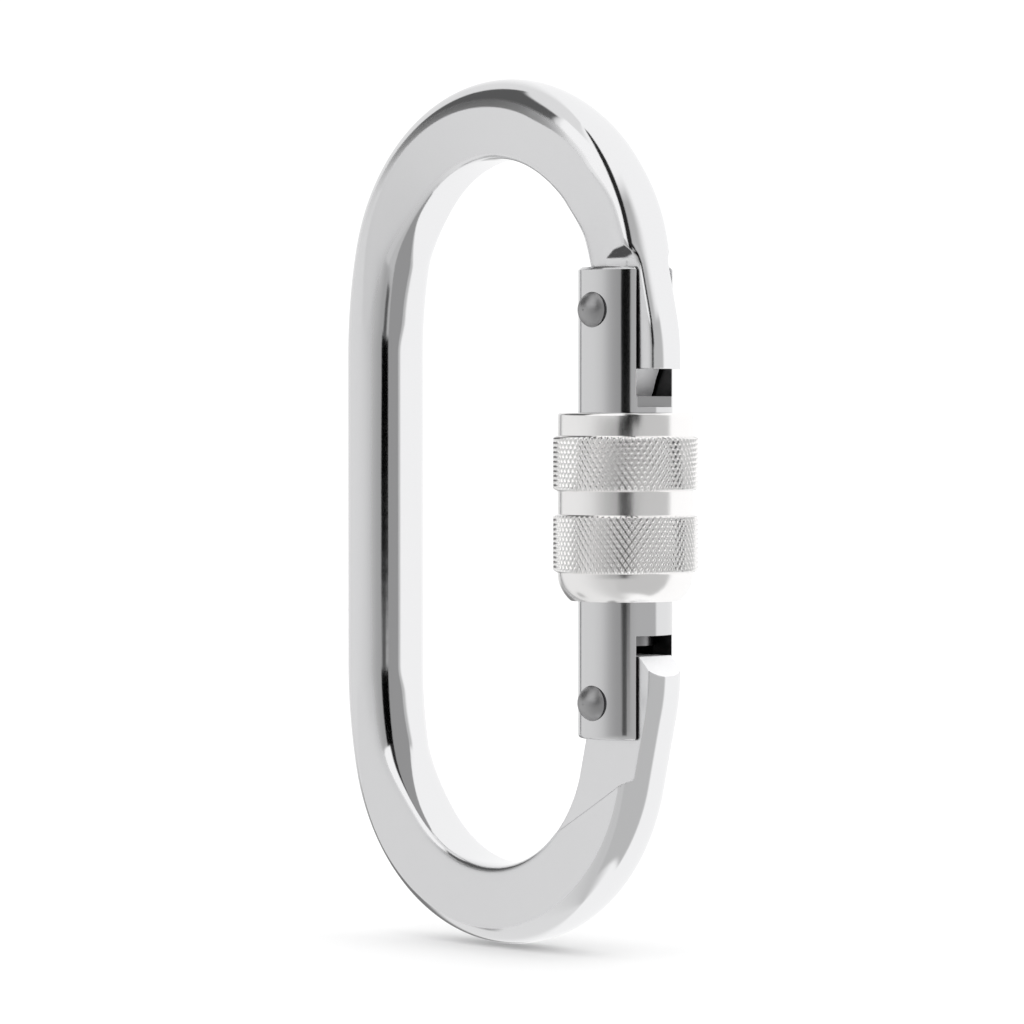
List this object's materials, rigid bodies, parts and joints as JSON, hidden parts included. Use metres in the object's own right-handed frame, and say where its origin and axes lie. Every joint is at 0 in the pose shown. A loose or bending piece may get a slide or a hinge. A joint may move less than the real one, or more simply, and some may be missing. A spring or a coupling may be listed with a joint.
{
  "type": "screw-lock carabiner",
  "caption": "Oval steel carabiner with a hinged tube gate, riveted at both ends, and a knurled screw sleeve that climbs the gate to lock it.",
  "frame": {"origin": "centre of the oval, on its middle plane and halfway between the two crowns", "axes": "+Z along the long axis to the latch end, +X to the gate, -Y the front face with the rivet heads"},
  "size_m": [0.0572, 0.0176, 0.108],
  "materials": {
    "polished_steel": "polished bright plating",
    "satin_steel": "satin plating",
    "rivet_steel": "satin, as closed",
    "sleeve_steel": "bright plated, turned and knurled",
    "ring_nylon": "plain nylon",
    "inner_steel": "plain turned and drawn steel"
  },
  "bodies": {
    "frame_body": {"frame": "polished_steel"},
    "gate_body": {"gate": "satin_steel", "hinge_rivet": "rivet_steel", "latch_rivet": "rivet_steel", "return_spring": "inner_steel"},
    "plunger_body": {"plunger": "inner_steel"},
    "ring_body": {"friction_ring": "ring_nylon"},
    "sleeve_body": {"locking_sleeve": "sleeve_steel"}
  },
  "joints": [
    {"name": "gate_swing", "type": "hinge", "parent": "frame_body", "child": "gate_body", "pos_m": [0.0211, 0, -0.0227], "axis": [0, -1, 0], "range_deg": [0, 35], "stiffness_Nm_per_rad": 0.15, "springref_deg": -17.19},
    {"name": "plunger_slide", "type": "slide", "parent": "gate_body", "child": "plunger_body", "axis": [0, 0, 1], "range_m": [0, 0.00175], "deforming": ["return_spring"]},
    {"name": "sleeve_climb", "type": "slide", "parent": "gate_body", "child": "ring_body", "axis": [0, 0, 1], "range_m": [0, 0.0095]},
    {"name": "sleeve_turn", "type": "hinge", "parent": "ring_body", "child": "sleeve_body", "pos_m": [0.0211, 0, 0], "axis": [0, 0, 1], "range_deg": [0, 1710]}
  ],
  "couplings": [
    {"joint": "gate_swing", "follows": "plunger_slide", "rad_per_m": 350},
    {"joint": "sleeve_turn", "follows": "sleeve_climb", "rad_per_m": 3141.6}
  ]
}
